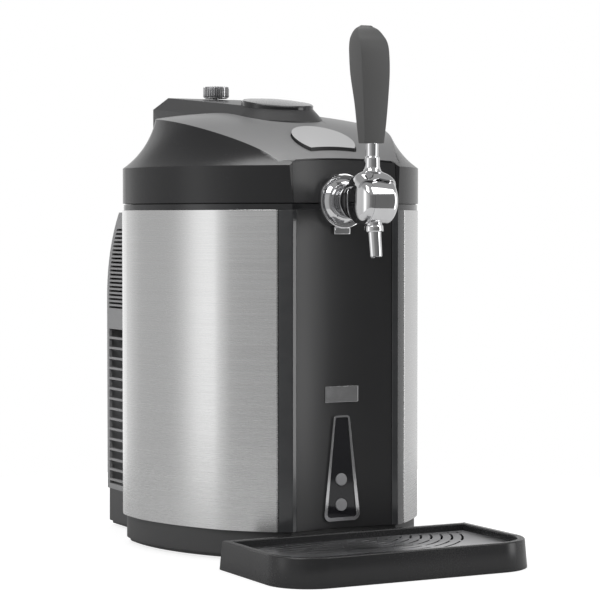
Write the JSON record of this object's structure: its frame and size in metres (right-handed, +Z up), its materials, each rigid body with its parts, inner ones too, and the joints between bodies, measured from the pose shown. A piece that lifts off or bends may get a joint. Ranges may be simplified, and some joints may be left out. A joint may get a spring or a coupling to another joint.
{
  "type": "mini keg beer dispenser",
  "caption": "Countertop cooler for a small beer keg with steel sides, a hinged domed lid with gas cap, a tap with a tall handle and a separate drip tray.",
  "frame": {"origin": "middle of the footprint of the body and tray together, on the surface that the dispenser stands on", "axes": "+X to the right of someone who looks at the front, +Y to the rear, +Z up"},
  "size_m": [0.269, 0.422, 0.459],
  "materials": {
    "black_body": "fine texture",
    "brushed_steel": "brushed along the width",
    "gloss_black": "gloss",
    "satin_black": "satin",
    "lid_grey": "satin, light grey paint on the top",
    "button_grey": "satin",
    "rear_grey": "fine texture",
    "chrome": "polished",
    "steel": "plain",
    "aluminium": "mill finish",
    "brass": "plain",
    "rubber": "matte",
    "soft_black": "soft touch",
    "foam": "rigid foam",
    "white_plastic": "satin",
    "circuit_board": "satin",
    "ceramic": "matte",
    "window": "gloss",
    "gas_steel": "plain"
  },
  "bodies": {
    "cabinet": {"base": "black_body", "feet": "rubber", "cabinet_shell": "black_body", "steel_panel_left": "brushed_steel", "steel_panel_right": "brushed_steel", "front_trim_left": "gloss_black", "front_trim_right": "gloss_black", "front_panel": "satin_black", "top_collar": "gloss_black", "chamber_liner": "aluminium", "foam_insulation": "foam", "badge_plate": "chrome", "control_bezel": "chrome", "control_window": "window", "control_board": "circuit_board", "rear_housing": "rear_grey", "rear_grille": "rear_grey", "mains_inlet": "black_body", "power_board": "circuit_board", "board_bracket": "steel", "cold_block": "aluminium", "peltier_module": "ceramic", "heat_sink": "aluminium", "fan_frame": "black_body", "housing_screws": "steel", "hinge_brackets": "steel", "hinge_pin": "steel", "tap_bracket": "steel", "tap_gasket": "rubber", "tap_flange": "chrome", "tap_shank": "chrome", "tap_nut": "brass", "tap_drum": "chrome", "tap_spout": "chrome", "tap_pivot_pin": "steel", "strike_plate": "steel"},
    "lid": {"lid_hinge_leaf": "steel", "lid_shell": "lid_grey", "lid_fascia": "gloss_black", "lid_inner_panel": "white_plastic", "lid_seal": "rubber", "hump_cover": "satin_black", "cap_well": "satin_black", "cartridge_sleeve": "satin_black", "gas_cartridge": "gas_steel", "regulator_body": "brass", "button_spring": "steel"},
    "gas_cap": {"gas_cap": "button_grey", "gas_cap_ring": "gloss_black"},
    "regulator_knob": {"regulator_knob": "steel"},
    "release_button": {"release_button": "button_grey"},
    "latch_slide": {"latch_slide": "steel"},
    "tap_lever": {"tap_lever": "chrome", "tap_handle": "soft_black"},
    "tap_valve": {"tap_valve": "steel"},
    "power_button": {"power_button": "button_grey"},
    "temperature_button": {"temperature_button": "button_grey"},
    "fan_rotor": {"fan_rotor": "black_body"},
    "drip_tray": {"drip_tray": "gloss_black"},
    "drip_grille": {"drip_grille": "steel"}
  },
  "joints": [
    {"name": "lid_hinge", "type": "hinge", "parent": "cabinet", "child": "lid", "pos_m": [0, 0.184, 0.308], "axis": [-1, 0, 0], "range_deg": [0, 75]},
    {"name": "tap_lever_hinge", "type": "hinge", "parent": "cabinet", "child": "tap_lever", "pos_m": [0, -0.1303, 0.3106], "axis": [1, 0, 0], "range_deg": [0, 35]},
    {"name": "tap_valve_slide", "type": "slide", "parent": "cabinet", "child": "tap_valve", "axis": [0, 1, 0], "range_m": [0, 0.0041]},
    {"name": "gas_cap_slide", "type": "slide", "parent": "lid", "child": "gas_cap", "axis": [0, -0.1564, 0.9877], "range_m": [0, 0.02]},
    {"name": "regulator_knob_turn", "type": "hinge", "parent": "lid", "child": "regulator_knob", "pos_m": [0, 0.174, 0.41], "axis": [0, 0, 1], "range_deg": [0, 270]},
    {"name": "release_button_press", "type": "slide", "parent": "lid", "child": "release_button", "axis": [0, 0, -1], "range_m": [0, 0.003], "stiffness_N_per_m": 1500, "springref_m": -0.0008, "deforming": ["button_spring"]},
    {"name": "latch_slide_move", "type": "slide", "parent": "lid", "child": "latch_slide", "axis": [0, 1, 0], "range_m": [0, 0.0031]},
    {"name": "drip_tray_slide", "type": "slide", "parent": "cabinet", "child": "drip_tray", "axis": [0, -1, 0], "range_m": [0, 0.14]},
    {"name": "drip_grille_lift", "type": "slide", "parent": "drip_tray", "child": "drip_grille", "axis": [0, 0, 1], "range_m": [0, 0.02]},
    {"name": "fan_turn", "type": "hinge", "parent": "cabinet", "child": "fan_rotor", "pos_m": [0, 0.172, 0.16], "axis": [0, 1, 0], "continuous": true},
    {"name": "power_button_press", "type": "slide", "parent": "cabinet", "child": "power_button", "axis": [0, 1, 0], "range_m": [0, 0.0008], "stiffness_N_per_m": 800, "springref_m": -0.0003},
    {"name": "temperature_button_press", "type": "slide", "parent": "cabinet", "child": "temperature_button", "axis": [0, 1, 0], "range_m": [0, 0.0008], "stiffness_N_per_m": 800, "springref_m": -0.0003}
  ],
  "couplings": [
    {"joint": "tap_valve_slide", "follows": "tap_lever_hinge", "m_per_rad": 0.0065},
    {"joint": "latch_slide_move", "follows": "release_button_press", "ratio": 1}
  ]
}
